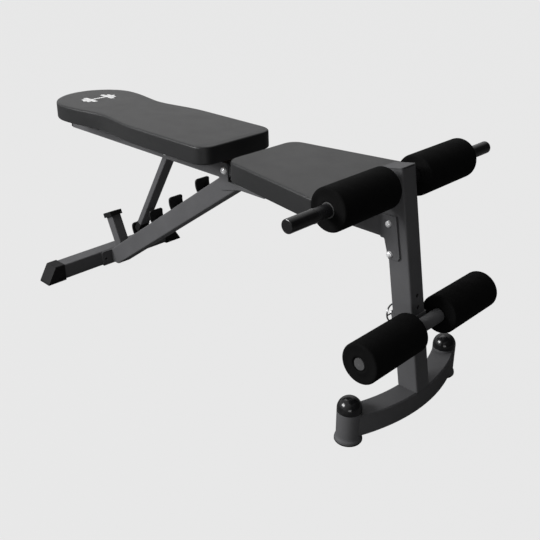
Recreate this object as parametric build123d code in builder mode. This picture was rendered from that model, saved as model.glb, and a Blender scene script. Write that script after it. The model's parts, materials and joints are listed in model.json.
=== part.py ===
from build123d import *
from math import asin, cos, degrees, radians, sin, tan
import os

# Decline sit up bench, in millimetres.
# +X points to the leg roller end, +Y to the left side, +Z up from the floor.
# The origin is on the floor, under the middle of the bench at rest.

# ---------------------------------------------------------------- driving dimensions
# overall reaches from the backrest hinge axis
head_reach = 680.0          # hinge axis to the head end of the backrest channel
lower_roller_reach = 572.4  # hinge axis to the lower roller axis
foam_radius = 42.5
hinge_x = (head_reach - lower_roller_reach - foam_radius) / 2
hinge_z = 421.0

# square frame tube
tube_width = 45.0
tube_wall = 2.5
tube_corner = 4.0
plate = 4.0
half_tube = tube_width / 2

# main beam: slopes up from the rear crossbar to the hinge
beam_depth = 50.0
beam_slope = 34.5
beam_height_at_hinge = 383.0  # height of its axis line right under the hinge
beam_cut_z = 395.5            # level cut under the backrest hinge

# seat beam: level, from behind the hinge to the front post
seat_beam_depth = 50.0
seat_beam_top = 440.0
seat_beam_start = hinge_x + 30.0
valley_end = hinge_x + 92.0
end_plate_thickness = 3.0

# front post: leans back
post_lean = 9.6
post_depth = 50.0
post_foot_x = hinge_x + 558.9  # middle of the post where it stands on the foot tube
post_foot_z = 67.0
post_top_z = 536.5

# front foot: a level arc with a round leg at each end
foot_arc_radius = 415.5
foot_arc_front = 23.5    # from the arc line to the front face of the foot tube
foot_arc_back = 25.0     # less than the leg radius, so the leg cuts the back face cleanly
foot_tube_height = 50.0
foot_tube_bevel = 2.5     # along the tube's four long corners
foot_leg_y = 171.4
foot_leg_radius = 26.0
foot_leg_top = 72.0
dome_top = 103.3

# leg rollers
bar_radius = 12.7
bar_wall = 2.0
core_radius = 15.0
running_gap = 0.05
foam_inner = 48.6
foam_outer = 214.0
upper_bar_z = 505.2
upper_bar_half = 316.0
grip_start = 252.0
grip_radius = 13.5

# sliding carriage on the front post
carriage_z = 216.1       # height of the carriage origin on the post axis
carriage_offset = 39.3   # post axis to lower roller axis
carriage_gap = 0.3
carriage_wall = 3.0
carriage_half_height = 18.0
lock_pin_level = 7.0     # lock pin above the carriage origin, along the post
lock_hole_pitch = 25.4
lock_hole_radius = 4.5
lock_pin_radius = 4.0

# rear crossbar
crossbar_x = hinge_x - 558.0
crossbar_z = 24.5
crossbar_half = 206.0
rear_cap_inner = 185.0
rear_cap_top = 214.0
rear_cap_floor = 243.0
rear_cap_size = 49.0

# backrest channel, downward open
channel_half = 22.0
channel_top = 441.0
channel_bottom = 399.0
channel_wall = 2.5
channel_end_radius = 20.0

# pads
back_pad_top = 500.0
back_pad_bottom = 456.0
back_pad_half = 117.0
back_pad_overhang = 32.0
waist_half = 99.0
head_radius = 118.0
head_centre_x = hinge_x - 551.0
seat_pad_top = 488.0
seat_pad_bottom = 441.5
seat_pad_rear = hinge_x + 97.5
seat_pad_front = hinge_x + 430.0
seat_rear_half = 107.5
seat_front_half = 163.0
board_thickness = 11.0
board_inset = 10.0
pad_edge_radius = 5.0

# support strut
strut_width = 32.0
strut_depth = 17.5
strut_wall = 2.0
strut_angle = 57.9
strut_length = 308.7
strut_pivot_x = hinge_x - 232.8
strut_pivot_z = 415.0

# decline stop
stop_width = 32.0
stop_wall = 2.0
stop_lean = 23.2
stop_top_x = hinge_x - 544.1
stop_top_z = 160.7
stop_cap_size = 42.0
stop_cap_height = 14.0

# ladder hooks on top of the main beam
hook_places = [hinge_x - 108.0, hinge_x - 222.0, hinge_x - 315.0, hinge_x - 404.0]
hook_height = 31.0

# fasteners
hinge_bolt_radius = 5.0
bush_radius = 8.0
bolt_radius = 4.0
washer_thickness = 1.6

os.makedirs("parts", exist_ok=True)


def save(piece, label):
    piece.part.label = label
    export_step(piece.part, f"parts/{label}.step")


def side_plane(y):
    """Plane seen from the right side: local x is +X, local y is +Z, normal -Y."""
    return Plane.XZ.offset(-y)


def tube_section(width, depth, wall, corner):
    with BuildSketch() as section:
        RectangleRounded(width, depth, corner)
        RectangleRounded(width - 2 * wall, depth - 2 * wall, corner - wall, mode=Mode.SUBTRACT)
    return section.sketch


def turned(points, plane=Plane.XZ):
    """A revolved solid from (radius, height) points, on the plane's own upright axis."""
    with BuildPart() as shape:
        with BuildSketch(plane):
            with BuildLine():
                Polyline(*points, close=True)
            make_face()
        revolve(axis=Axis(plane.origin, plane.y_dir))
    return shape.part


def cross_plane(x, y, z):
    """Plane whose upright local axis runs along +Y, for parts turned about Y."""
    return Plane(origin=(x, y, z), x_dir=(1, 0, 0), z_dir=(0, 0, 1))


def domed_bolt(radius, head_radius, head_height, grip):
    """Points of a dome head bolt: head below the origin, shank above."""
    return [
        (0, -head_height),
        (head_radius * 0.45, -head_height * 0.94),
        (head_radius * 0.8, -head_height * 0.66),
        (head_radius, -head_height * 0.12),
        (head_radius, 0),
        (radius, 0),
        (radius, grip),
        (0, grip),
    ]


def hex_nuts(places, across_flats, bore_radius, height):
    """Hex nuts standing on left-facing surfaces at each (x, y, z)."""
    with BuildPart() as nuts:
        for x, y, z in places:
            with BuildSketch(Plane(origin=(x, y, z), x_dir=(1, 0, 0), z_dir=(0, 1, 0))):
                RegularPolygon(across_flats / 2, 6, major_radius=False)
                Circle(bore_radius, mode=Mode.SUBTRACT)
            extrude(amount=height)
    return nuts


def ring_y(x, z, y_from, y_to, outer, inner):
    """A round tube along Y."""
    with BuildPart() as ring:
        with BuildSketch(side_plane(y_from)):
            with Locations((x, z)):
                Circle(outer)
                Circle(inner, mode=Mode.SUBTRACT)
        extrude(amount=-(y_to - y_from))
    return ring


# ---------------------------------------------------------------- reference planes
slope = Vector(cos(radians(beam_slope)), 0, sin(radians(beam_slope)))
beam_axis_at_hinge = Vector(hinge_x, 0, beam_height_at_hinge)
beam_top_plane = Plane(
    origin=beam_axis_at_hinge + Vector(-slope.Z, 0, slope.X) * (beam_depth / 2),
    x_dir=slope,
    z_dir=(-slope.Z, 0, slope.X),
)

post_up = Vector(-sin(radians(post_lean)), 0, cos(radians(post_lean)))
post_forward = Vector(cos(radians(post_lean)), 0, sin(radians(post_lean)))
post_base = Vector(post_foot_x, 0, post_foot_z)


def post_point(height, forward=0.0, side=0.0):
    """A point given by its height on the post axis, then moved square to the axis."""
    along = (height - post_foot_z) / cos(radians(post_lean))
    return post_base + post_up * along + post_forward * forward + Vector(0, side, 0)


post_plane = Plane(origin=post_point(post_foot_z), x_dir=post_forward, z_dir=post_up)
carriage_plane = Plane(origin=post_point(carriage_z), x_dir=post_forward, z_dir=post_up)
pin_origin = post_point(carriage_z) + post_up * lock_pin_level
pull_plane = Plane(origin=pin_origin, x_dir=(0, 1, 0), z_dir=post_forward * -1)
lower_axis = post_point(carriage_z, carriage_offset)

# ---------------------------------------------------------------- main beam
square_section = tube_section(tube_width, tube_width, tube_wall, tube_corner)
beam_rear_x = crossbar_x + half_tube + plate + 0.5
beam_tube_section = tube_section(beam_depth, tube_width, tube_wall, tube_corner)
beam_floor_gap = 7.0

with BuildPart() as main_beam:
    start = beam_axis_at_hinge - slope * 760
    with BuildSketch(Plane(origin=start, x_dir=(-slope.Z, 0, slope.X), z_dir=slope)):
        add(beam_tube_section)
    extrude(amount=860)
    split(bisect_by=Plane.XY.offset(beam_cut_z), keep=Keep.BOTTOM)
    split(bisect_by=Plane.XY.offset(beam_floor_gap), keep=Keep.TOP)
    split(bisect_by=Plane.YZ.offset(beam_rear_x), keep=Keep.TOP)
    # seat for the end of the seat beam
    with BuildSketch(Plane.XY.offset(seat_beam_top - seat_beam_depth)):
        with Locations((seat_beam_start, 0)):
            Rectangle(200, 60, align=(Align.MIN, Align.CENTER))
    extrude(amount=60, mode=Mode.SUBTRACT)
save(main_beam, "main_beam")

# ---------------------------------------------------------------- seat beam
seat_beam_z = seat_beam_top - seat_beam_depth / 2
post_rear_plane = Plane(origin=post_point(post_foot_z, -post_depth / 2), x_dir=post_up, z_dir=post_forward)

with BuildPart() as seat_beam:
    with BuildSketch(Plane(origin=(seat_beam_start, 0, seat_beam_z), x_dir=(0, 0, 1), z_dir=(1, 0, 0))):
        add(tube_section(seat_beam_depth, tube_width, tube_wall, tube_corner))
    extrude(amount=520)
    split(bisect_by=post_rear_plane, keep=Keep.BOTTOM)
    # low valley that the end of the raised back pad swings through
    with BuildSketch(Plane.XY.offset(beam_cut_z)):
        with Locations((seat_beam_start - 1, 0)):
            Rectangle(valley_end - seat_beam_start + 1, 60, align=(Align.MIN, Align.CENTER))
    extrude(amount=60, mode=Mode.SUBTRACT)
save(seat_beam, "seat_beam")

with BuildPart() as seat_beam_end_plate:
    with BuildSketch(Plane.YZ.offset(valley_end - end_plate_thickness)):
        with Locations((0, (beam_cut_z + seat_beam_top) / 2)):
            Rectangle(tube_width - 1, seat_beam_top - beam_cut_z)
    extrude(amount=end_plate_thickness)
save(seat_beam_end_plate, "seat_beam_end_plate")

# ---------------------------------------------------------------- hinge side plates, one on each side
side_plate_inner = half_tube
side_plate_outer = half_tube + plate
side_plate_floor = seat_beam_top - seat_beam_depth - 5.5
with BuildPart() as hinge_side_plates:
    with BuildSketch(side_plane(0)):
        with BuildLine():
            FilletPolyline(
                (hinge_x - 18, hinge_z + 20),
                (hinge_x + 13, hinge_z + 20),
                (hinge_x + 13, beam_cut_z),
                (valley_end, beam_cut_z),
                (valley_end, seat_beam_top - 8),
                (valley_end + 48, seat_beam_top - 8),
                (valley_end + 48, side_plate_floor),
                (hinge_x + 54, side_plate_floor),
                (hinge_x - 18, 368),
                radius=5,
                close=True,
            )
        make_face()
        with Locations((hinge_x, hinge_z)):
            Circle(hinge_bolt_radius, mode=Mode.SUBTRACT)
    extrude(amount=side_plate_outer, both=True)
    with BuildSketch(side_plane(0)):
        with Locations((hinge_x, hinge_z)):
            Rectangle(400, 200)
    extrude(amount=side_plate_inner, both=True, mode=Mode.SUBTRACT)
save(hinge_side_plates, "hinge_side_plates")

# ---------------------------------------------------------------- ladder hooks
hook_half = 22.0
with BuildPart() as ladder_hooks:
    for hook_x in hook_places:
        hook_z = beam_height_at_hinge + (hook_x - hinge_x) * tan(radians(beam_slope))
        hook_z += beam_depth / 2 / cos(radians(beam_slope))
        with BuildSketch(side_plane(0)):
            with BuildLine():
                outer = ThreePointArc(
                    (hook_x + 2, hook_z - 6), (hook_x - 8.5, hook_z + 14), (hook_x - 7, hook_z + hook_height)
                )
                inner = ThreePointArc(
                    (hook_x + 6.4, hook_z - 6),
                    (hook_x - 4.4, hook_z + 14),
                    (hook_x - 3, hook_z + hook_height - 0.6),
                )
                Line(outer @ 1, inner @ 1)
                Line(outer @ 0, inner @ 0)
            make_face()
        extrude(amount=hook_half, both=True)
        with BuildSketch(Plane.YZ.offset(hook_x - 20)):
            with Locations((0, hook_z + hook_height)):
                Rectangle(2 * hook_half + 2, 24)
            with Locations((0, hook_z + hook_height)):
                RectangleRounded(2 * hook_half, 44, 7, align=(Align.CENTER, Align.MAX), mode=Mode.SUBTRACT)
        extrude(amount=40, mode=Mode.SUBTRACT)
    split(bisect_by=beam_top_plane, keep=Keep.TOP)
save(ladder_hooks, "ladder_hooks")

# ---------------------------------------------------------------- rear crossbar, plate and caps
plate_half_y = 57.0
plate_hole_y = 45.3
plate_hole_z = 22.0
crossbar_front = crossbar_x + half_tube
hole_line = Plane(origin=(crossbar_front + 20, 0, plate_hole_z), x_dir=(0, 1, 0), z_dir=(-1, 0, 0))

crossbar_end = (crossbar_x, -crossbar_half, crossbar_z)
with BuildPart() as rear_crossbar:
    with BuildSketch(Plane(origin=crossbar_end, x_dir=(1, 0, 0), z_dir=(0, 1, 0))):
        add(square_section)
    extrude(amount=2 * crossbar_half)
    with BuildSketch(hole_line):
        with Locations((-plate_hole_y, 0), (plate_hole_y, 0)):
            Circle(bolt_radius)
    extrude(amount=100, mode=Mode.SUBTRACT)
save(rear_crossbar, "rear_crossbar")

with BuildPart() as rear_mounting_plate:
    with BuildSketch(Plane.YZ.offset(crossbar_front)):
        with Locations((0, crossbar_z - 1)):
            RectangleRounded(2 * plate_half_y, 45, 3)
        with Locations((-plate_hole_y, plate_hole_z), (plate_hole_y, plate_hole_z)):
            Circle(bolt_radius, mode=Mode.SUBTRACT)
    extrude(amount=plate)
save(rear_mounting_plate, "rear_mounting_plate")

for side, label in ((1, "rear_foot_cap_left"), (-1, "rear_foot_cap_right")):
    with BuildPart() as rear_foot_cap:
        with BuildSketch(Plane.YZ.offset(crossbar_x - rear_cap_size / 2)):
            with BuildLine():
                Polyline(
                    (side * rear_cap_inner, 0),
                    (side * rear_cap_floor, 0),
                    (side * (rear_cap_floor - 2), 5),
                    (side * rear_cap_top, rear_cap_size),
                    (side * rear_cap_inner, rear_cap_size),
                    close=True,
                )
            make_face()
        extrude(amount=rear_cap_size)
        long_edges = rear_foot_cap.edges().filter_by(Axis.Y).group_by(Axis.Z)[-1]
        fillet(long_edges, 3)
        with BuildSketch(Plane(origin=(crossbar_x, 0, crossbar_z), x_dir=(1, 0, 0), z_dir=(0, side, 0))):
            RectangleRounded(tube_width, tube_width, tube_corner)
        extrude(amount=crossbar_half, mode=Mode.SUBTRACT)
    save(rear_foot_cap, label)

# ---------------------------------------------------------------- decline stop
stop_rise = Vector(-sin(radians(stop_lean)), 0, cos(radians(stop_lean)))
stop_top = Vector(stop_top_x, 0, stop_top_z)
stop_forward = Vector(cos(radians(stop_lean)), 0, sin(radians(stop_lean)))
stop_plane = Plane(origin=stop_top, x_dir=stop_forward, z_dir=stop_rise)

with BuildPart() as decline_stop_post:
    with BuildSketch(stop_plane.offset(-stop_cap_height + 3)):
        add(tube_section(stop_width, stop_width, stop_wall, 3))
    extrude(amount=-160)
    split(bisect_by=beam_top_plane, keep=Keep.TOP)
save(decline_stop_post, "decline_stop_post")

with BuildPart() as decline_stop_cap:
    with BuildSketch(stop_plane):
        RectangleRounded(stop_cap_size, stop_cap_size, 3)
    extrude(amount=-stop_cap_height)
    fillet(decline_stop_cap.faces().sort_by(Axis(stop_top, stop_rise))[-1].edges(), 1.5)
    with BuildSketch(stop_plane.offset(-3)):
        RectangleRounded(stop_width, stop_width, 3)
    extrude(amount=-stop_cap_height, mode=Mode.SUBTRACT)
    with BuildSketch(stop_plane.offset(-3)):
        Rectangle(stop_width - 2 * stop_wall - 1, stop_width - 2 * stop_wall - 1)
    extrude(amount=-16)
save(decline_stop_cap, "decline_stop_cap")

# ---------------------------------------------------------------- front post, its cap, bracket and bolts
bracket_bolts = [post_point(426, -14), post_point(363, -17)]
lock_levels = [lock_pin_level + lock_hole_pitch * step for step in range(-2, 3)]
bar_axis = post_point(upper_bar_z)

with BuildPart() as front_post:
    with BuildSketch(post_plane.offset(-20)):
        add(tube_section(post_depth, tube_width, tube_wall, tube_corner))
    extrude(amount=(post_top_z - post_foot_z) / cos(radians(post_lean)) + 20 - 2)
    split(bisect_by=Plane.XY.offset(post_foot_z), keep=Keep.TOP)
    with BuildSketch(side_plane(0)):
        with Locations((bar_axis.X, bar_axis.Z)):
            Circle(bar_radius)
        for bolt in bracket_bolts:
            with Locations((bolt.X, bolt.Z)):
                Circle(bolt_radius)
    extrude(amount=60, both=True, mode=Mode.SUBTRACT)
    for level in lock_levels:
        with BuildSketch(Plane(origin=post_point(carriage_z) + post_up * level, z_dir=post_forward)):
            Circle(lock_hole_radius)
        extrude(amount=60, both=True, mode=Mode.SUBTRACT)
save(front_post, "front_post")

post_cap_plane = post_plane.offset((post_top_z - post_foot_z) / cos(radians(post_lean)) - 2)
cap_neck = 1.2
cap_neck_inset = 3.0
with BuildPart() as post_top_cap:
    with BuildSketch(post_cap_plane):
        RectangleRounded(post_depth - cap_neck_inset, tube_width - cap_neck_inset, tube_corner - 1)
    extrude(amount=cap_neck)
    with BuildSketch(post_cap_plane.offset(cap_neck)):
        RectangleRounded(post_depth, tube_width, tube_corner)
    extrude(amount=2.3)
    fillet(post_top_cap.faces().sort_by(Axis(post_base, post_up))[-1].edges(), 1.0)
    with BuildSketch(post_cap_plane.offset(-12)):
        Rectangle(post_depth - 2 * tube_wall - 1, tube_width - 2 * tube_wall - 1)
    extrude(amount=12)
save(post_top_cap, "post_top_cap")

with BuildPart() as post_bracket_plates:
    with BuildSketch(side_plane(0)):
        with BuildLine():
            FilletPolyline(
                (hinge_x + 466, seat_beam_top - 0.5),
                (hinge_x + 500.6, 443.0),
                (hinge_x + 516.3, 357.7),
                (hinge_x + 512, 351.5),
                (hinge_x + 489, 349.5),
                (hinge_x + 476, 391),
                (hinge_x + 466, 391),
                radius=2.5,
                close=True,
            )
        make_face()
        for bolt in bracket_bolts:
            with Locations((bolt.X, bolt.Z)):
                Circle(bolt_radius, mode=Mode.SUBTRACT)
    extrude(amount=half_tube + plate, both=True)
    with BuildSketch(side_plane(0)):
        with Locations((hinge_x + 490, 400)):
            Rectangle(200, 200)
    extrude(amount=half_tube, both=True, mode=Mode.SUBTRACT)
save(post_bracket_plates, "post_bracket_plates")

bracket_face = half_tube + plate
bracket_head = domed_bolt(bolt_radius, 7.0, 6.0, 2 * bracket_face + 10)
with BuildPart() as post_bracket_bolts:
    for bolt in bracket_bolts:
        add(turned(bracket_head, cross_plane(bolt.X, -bracket_face, bolt.Z)))
save(post_bracket_bolts, "post_bracket_bolts")

with BuildPart() as post_bracket_washers:
    for bolt in bracket_bolts:
        add(ring_y(bolt.X, bolt.Z, bracket_face, bracket_face + washer_thickness, 8.5, bolt_radius))
save(post_bracket_washers, "post_bracket_washers")

nut_places = [(bolt.X, bracket_face + washer_thickness, bolt.Z) for bolt in bracket_bolts]
post_bracket_nuts = hex_nuts(nut_places, 13, bolt_radius, 6.5)
save(post_bracket_nuts, "post_bracket_nuts")

# ---------------------------------------------------------------- front foot
arc_centre_x = hinge_x + 559.9 - foot_arc_radius
leg_angle = degrees(asin(foot_leg_y / foot_arc_radius))
leg_x = arc_centre_x + foot_arc_radius * cos(radians(leg_angle))
leg_places = [(leg_x, foot_leg_y), (leg_x, -foot_leg_y)]
foot_tube_bottom = post_foot_z - foot_tube_height


def arc_band(inner_radius, outer_radius, half_angle):
    with BuildSketch() as band:
        with BuildLine():
            centre = (arc_centre_x, 0)
            outer = CenterArc(centre, outer_radius, -half_angle, 2 * half_angle)
            inner = CenterArc(centre, inner_radius, -half_angle, 2 * half_angle)
            Line(outer @ 0, inner @ 0)
            Line(outer @ 1, inner @ 1)
        make_face()
    return band.sketch


with BuildPart() as front_foot_tube:
    with BuildSketch(Plane.XY.offset(foot_tube_bottom)):
        add(arc_band(foot_arc_radius - foot_arc_back, foot_arc_radius + foot_arc_front, leg_angle))
    extrude(amount=foot_tube_height)
    curved = front_foot_tube.edges().filter_by(GeomType.CIRCLE)
    chamfer(curved, foot_tube_bevel)
    with BuildSketch(Plane.XY.offset(foot_tube_bottom + tube_wall)):
        inner_radius = foot_arc_radius - foot_arc_back + tube_wall
        outer_radius = foot_arc_radius + foot_arc_front - tube_wall
        add(arc_band(inner_radius, outer_radius, leg_angle + 1))
    extrude(amount=foot_tube_height - 2 * tube_wall, mode=Mode.SUBTRACT)
    with BuildSketch():
        with Locations(*leg_places):
            Circle(foot_leg_radius)
    extrude(amount=100, mode=Mode.SUBTRACT)
save(front_foot_tube, "front_foot_tube")

leg_bore = foot_leg_radius - tube_wall
leg_flare = 29.2
sleeve_profile = [
    (leg_bore, 4),
    (leg_flare, 4),
    (leg_flare - 0.6, 8),
    (foot_leg_radius + 0.6, 12),
    (foot_leg_radius, 16),
    (foot_leg_radius, foot_leg_top),
    (leg_bore, foot_leg_top),
]
pad_profile = [(0, 0), (leg_flare - 0.8, 0), (leg_flare + 0.2, 1.5), (leg_flare + 0.2, 4), (leg_bore, 4)]
pad_profile += [(leg_bore, 14), (0, 14)]


def at_legs(profile):
    with BuildPart() as pieces:
        for x, y in leg_places:
            add(turned(profile, Plane(origin=(x, y, 0), x_dir=(1, 0, 0), z_dir=(0, -1, 0))))
    return pieces


front_foot_sleeves = at_legs(sleeve_profile)
save(front_foot_sleeves, "front_foot_sleeves")
front_foot_pads = at_legs(pad_profile)
save(front_foot_pads, "front_foot_pads")

with BuildPart() as front_dome_caps:
    dome_centre = dome_top - foot_leg_radius
    for x, y in leg_places:
        with BuildSketch(Plane.XY.offset(foot_leg_top)):
            with Locations((x, y)):
                Circle(foot_leg_radius)
        extrude(amount=dome_centre - foot_leg_top)
        with Locations((x, y, dome_centre)):
            Sphere(foot_leg_radius, arc_size1=0, align=(Align.CENTER, Align.CENTER, Align.MIN))
        with BuildSketch(Plane.XY.offset(foot_leg_top - 12)):
            with Locations((x, y)):
                Circle(leg_bore - 0.3)
        extrude(amount=12)
save(front_dome_caps, "front_dome_caps")

# ---------------------------------------------------------------- upper roller bar and grips
with BuildPart() as upper_roller_bar:
    add(ring_y(bar_axis.X, bar_axis.Z, -upper_bar_half, upper_bar_half, bar_radius, bar_radius - bar_wall))
save(upper_roller_bar, "upper_roller_bar")

grip_end = upper_bar_half + 2.5
grip_profile = [
    (bar_radius, grip_start),
    (grip_radius + 0.5, grip_start),
    (grip_radius + 0.5, grip_start + 3),
    (grip_radius, grip_start + 4),
    (grip_radius, grip_end - 1.5),
    (grip_radius - 0.5, grip_end - 0.5),
    (grip_radius - 1.5, grip_end),
    (0, grip_end),
    (0, upper_bar_half),
    (bar_radius, upper_bar_half),
]
grip_axis_plane = cross_plane(bar_axis.X, 0, bar_axis.Z)
grip_solid = turned(grip_profile, grip_axis_plane)
with BuildPart() as upper_bar_grips:
    add(grip_solid)
    add(mirror(grip_solid, about=Plane.XZ))
save(upper_bar_grips, "upper_bar_grips")

# ---------------------------------------------------------------- foam rollers on plastic cores
foam_edge = 3.0
foam_profile = [
    (core_radius, foam_inner),
    (foam_radius - foam_edge, foam_inner),
    (foam_radius - 0.9, foam_inner + 0.9),
    (foam_radius, foam_inner + foam_edge),
    (foam_radius, foam_outer - foam_edge),
    (foam_radius - 0.9, foam_outer - 0.9),
    (foam_radius - foam_edge, foam_outer),
    (core_radius, foam_outer),
]
core_inner_recess = 5.0


def core_profile(outer_recess):
    """A plastic sleeve inside the foam, sunk at both ends."""
    return [
        (bar_radius + running_gap, foam_inner + core_inner_recess),
        (core_radius, foam_inner + core_inner_recess),
        (core_radius, foam_outer - outer_recess),
        (bar_radius + running_gap, foam_outer - outer_recess),
    ]


for level, axis_point, outer_recess in (("upper", bar_axis, 0.0), ("lower", lower_axis, 3.0)):
    roller_plane = cross_plane(axis_point.X, 0, axis_point.Z)
    for kind, profile in (("foam_roller", foam_profile), ("roller_core", core_profile(outer_recess))):
        left_solid = turned(profile, roller_plane)
        with BuildPart() as left_piece:
            add(left_solid)
        save(left_piece, f"{kind}_{level}_left")
        with BuildPart() as right_piece:
            add(mirror(left_solid, about=Plane.XZ))
        save(right_piece, f"{kind}_{level}_right")

# ---------------------------------------------------------------- backrest channel
channel_head_x = hinge_x - head_reach + 8.0
with BuildPart() as backrest_channel:
    with BuildSketch(side_plane(0)):
        with Locations(((hinge_x + channel_head_x) / 2, (channel_top + channel_bottom) / 2)):
            Rectangle(hinge_x - channel_head_x, channel_top - channel_bottom)
        with Locations((hinge_x - 6, hinge_z)):
            Rectangle(20, 60, mode=Mode.SUBTRACT)
        with Locations((hinge_x - 16, hinge_z - 1)):
            Rectangle(32, 2 * channel_end_radius + 2, align=(Align.CENTER, Align.CENTER))
        with Locations((hinge_x + 20, hinge_z)):
            Rectangle(40, 80, mode=Mode.SUBTRACT)
        with Locations((hinge_x, hinge_z)):
            Circle(channel_end_radius)
    extrude(amount=channel_half, both=True)
    # the hollow under the web, open below and at both ends
    with BuildSketch(side_plane(0)):
        with Locations((hinge_x - 320, channel_top - channel_wall)):
            Rectangle(800, 80, align=(Align.CENTER, Align.MAX))
    extrude(amount=channel_half - channel_wall, both=True, mode=Mode.SUBTRACT)
    with BuildSketch(side_plane(0)):
        with Locations((hinge_x, hinge_z)):
            Circle(bush_radius)
        with Locations((strut_pivot_x, strut_pivot_z)):
            Circle(bolt_radius)
    extrude(amount=60, both=True, mode=Mode.SUBTRACT)
save(backrest_channel, "backrest_channel")

with BuildPart() as channel_end_cap:
    with BuildSketch(Plane.YZ.offset(channel_head_x)):
        with Locations((0, (channel_top + channel_bottom) / 2)):
            RectangleRounded(2 * channel_half, channel_top - channel_bottom, 3)
    extrude(amount=-8)
    fillet(channel_end_cap.faces().sort_by(Axis.X)[0].edges(), 2)
    with BuildSketch(Plane.YZ.offset(channel_head_x)):
        with Locations((0, channel_top - channel_wall - 0.5)):
            Rectangle(
                2 * (channel_half - channel_wall) - 1,
                channel_top - channel_bottom - channel_wall - 1,
                align=(Align.CENTER, Align.MAX),
            )
    extrude(amount=14)
save(channel_end_cap, "channel_end_cap")

# ---------------------------------------------------------------- back pad, its board and crossbars
crossbar_places = [hinge_x - 95.0, hinge_x - 480.0]
pad_bar_half = 75.0
pad_bar_length = 45.0
pad_bar_wall = 2.5
pad_screw_y = 55.0
board_bottom = back_pad_bottom + 1.0


def back_pad_outline(inset):
    """The back pad seen from above: square hinge end, narrow waist, round head."""
    with BuildSketch() as outline:
        with BuildLine():
            straight_end = hinge_x - 230
            waist_x = hinge_x - 395
            pad_end = hinge_x + back_pad_overhang - inset
            half = back_pad_half - inset
            corner = 38.0 - inset
            left = Spline(
                (straight_end, half),
                (waist_x, waist_half - inset),
                (head_centre_x, head_radius - inset),
                tangents=[(-1, 0), (-1, 0)],
            )
            ThreePointArc(
                left @ 1, (head_centre_x - head_radius + inset, 0), (head_centre_x, inset - head_radius)
            )
            Spline(
                (head_centre_x, inset - head_radius),
                (waist_x, inset - waist_half),
                (straight_end, -half),
                tangents=[(1, 0), (1, 0)],
            )
            Line((straight_end, -half), (pad_end - corner, -half))
            RadiusArc((pad_end - corner, -half), (pad_end, -half + corner), -corner)
            Line((pad_end, -half + corner), (pad_end, half - corner))
            RadiusArc((pad_end, half - corner), (pad_end - corner, half), -corner)
            Line((pad_end - corner, half), (straight_end, half))
        make_face()
    return outline.sketch


with BuildPart() as back_pad:
    with BuildSketch(Plane.XY.offset(back_pad_bottom)):
        add(back_pad_outline(0))
    extrude(amount=back_pad_top - back_pad_bottom)
    fillet(back_pad.faces().sort_by(Axis.Z)[-1].edges(), pad_edge_radius)
    fillet(back_pad.faces().sort_by(Axis.Z)[0].edges(), pad_edge_radius)
    with BuildSketch(Plane.XY.offset(back_pad_bottom)):
        add(back_pad_outline(board_inset))
    extrude(amount=board_thickness + 1.5, mode=Mode.SUBTRACT)
save(back_pad, "back_pad")

with BuildPart() as back_board:
    with BuildSketch(Plane.XY.offset(board_bottom)):
        add(back_pad_outline(board_inset + 0.5))
    extrude(amount=board_thickness)
    with BuildSketch(Plane.XY.offset(board_bottom)):
        for x in crossbar_places:
            with Locations((x, pad_screw_y), (x, -pad_screw_y)):
                Circle(bolt_radius)
    extrude(amount=board_thickness, mode=Mode.SUBTRACT)
save(back_board, "back_board")

with BuildPart() as backrest_crossbars:
    bar_height = board_bottom - channel_top
    for x in crossbar_places:
        with BuildSketch(Plane.YZ.offset(x - pad_bar_length / 2)):
            with Locations((0, channel_top)):
                Rectangle(2 * pad_bar_half, bar_height, align=(Align.CENTER, Align.MIN))
        extrude(amount=pad_bar_length)
    upright = backrest_crossbars.edges().filter_by(Axis.Z)
    fillet(upright, 4)
    for x in crossbar_places:
        with BuildSketch(Plane.YZ.offset(x - pad_bar_length / 2 + pad_bar_wall)):
            with Locations((0, channel_top)):
                Rectangle(
                    2 * (pad_bar_half - pad_bar_wall),
                    bar_height - pad_bar_wall,
                    align=(Align.CENTER, Align.MIN),
                )
        extrude(amount=pad_bar_length - 2 * pad_bar_wall, mode=Mode.SUBTRACT)
        with BuildSketch(Plane.XY.offset(channel_top)):
            with Locations((x, pad_screw_y), (x, -pad_screw_y)):
                Circle(bolt_radius)
        extrude(amount=40, mode=Mode.SUBTRACT)
save(backrest_crossbars, "backrest_crossbars")

screw_grip = 12.0


def upright_screws(places, seat_z):
    """Dome head screws that point up, their heads under a surface at seat_z."""
    profile = domed_bolt(bolt_radius, 7.0, 4.5, screw_grip)
    with BuildPart() as screws:
        for x, y in places:
            add(turned(profile, Plane(origin=(x, y, seat_z), x_dir=(1, 0, 0), z_dir=(0, -1, 0))))
    return screws


back_screw_places = [(x, side * pad_screw_y) for x in crossbar_places for side in (1, -1)]
back_pad_screws = upright_screws(back_screw_places, board_bottom - pad_bar_wall)
save(back_pad_screws, "back_pad_screws")

# ---------------------------------------------------------------- hinge bolt, bush and nut
bush_bore = hinge_bolt_radius + running_gap
hinge_bush = ring_y(hinge_x, hinge_z, -channel_half, channel_half, bush_radius, bush_bore)
save(hinge_bush, "hinge_bush")

with BuildPart() as hinge_bolt:
    add(
        turned(
            domed_bolt(hinge_bolt_radius, 9.5, 6.0, 2 * side_plate_outer + 11),
            cross_plane(hinge_x, -side_plate_outer, hinge_z),
        )
    )
save(hinge_bolt, "hinge_bolt")

washer_outer = side_plate_outer + washer_thickness
hinge_washer = ring_y(hinge_x, hinge_z, side_plate_outer, washer_outer, 10, hinge_bolt_radius)
save(hinge_washer, "hinge_washer")
hinge_nut = hex_nuts([(hinge_x, washer_outer, hinge_z)], 16, hinge_bolt_radius, 8)
save(hinge_nut, "hinge_nut")

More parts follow.
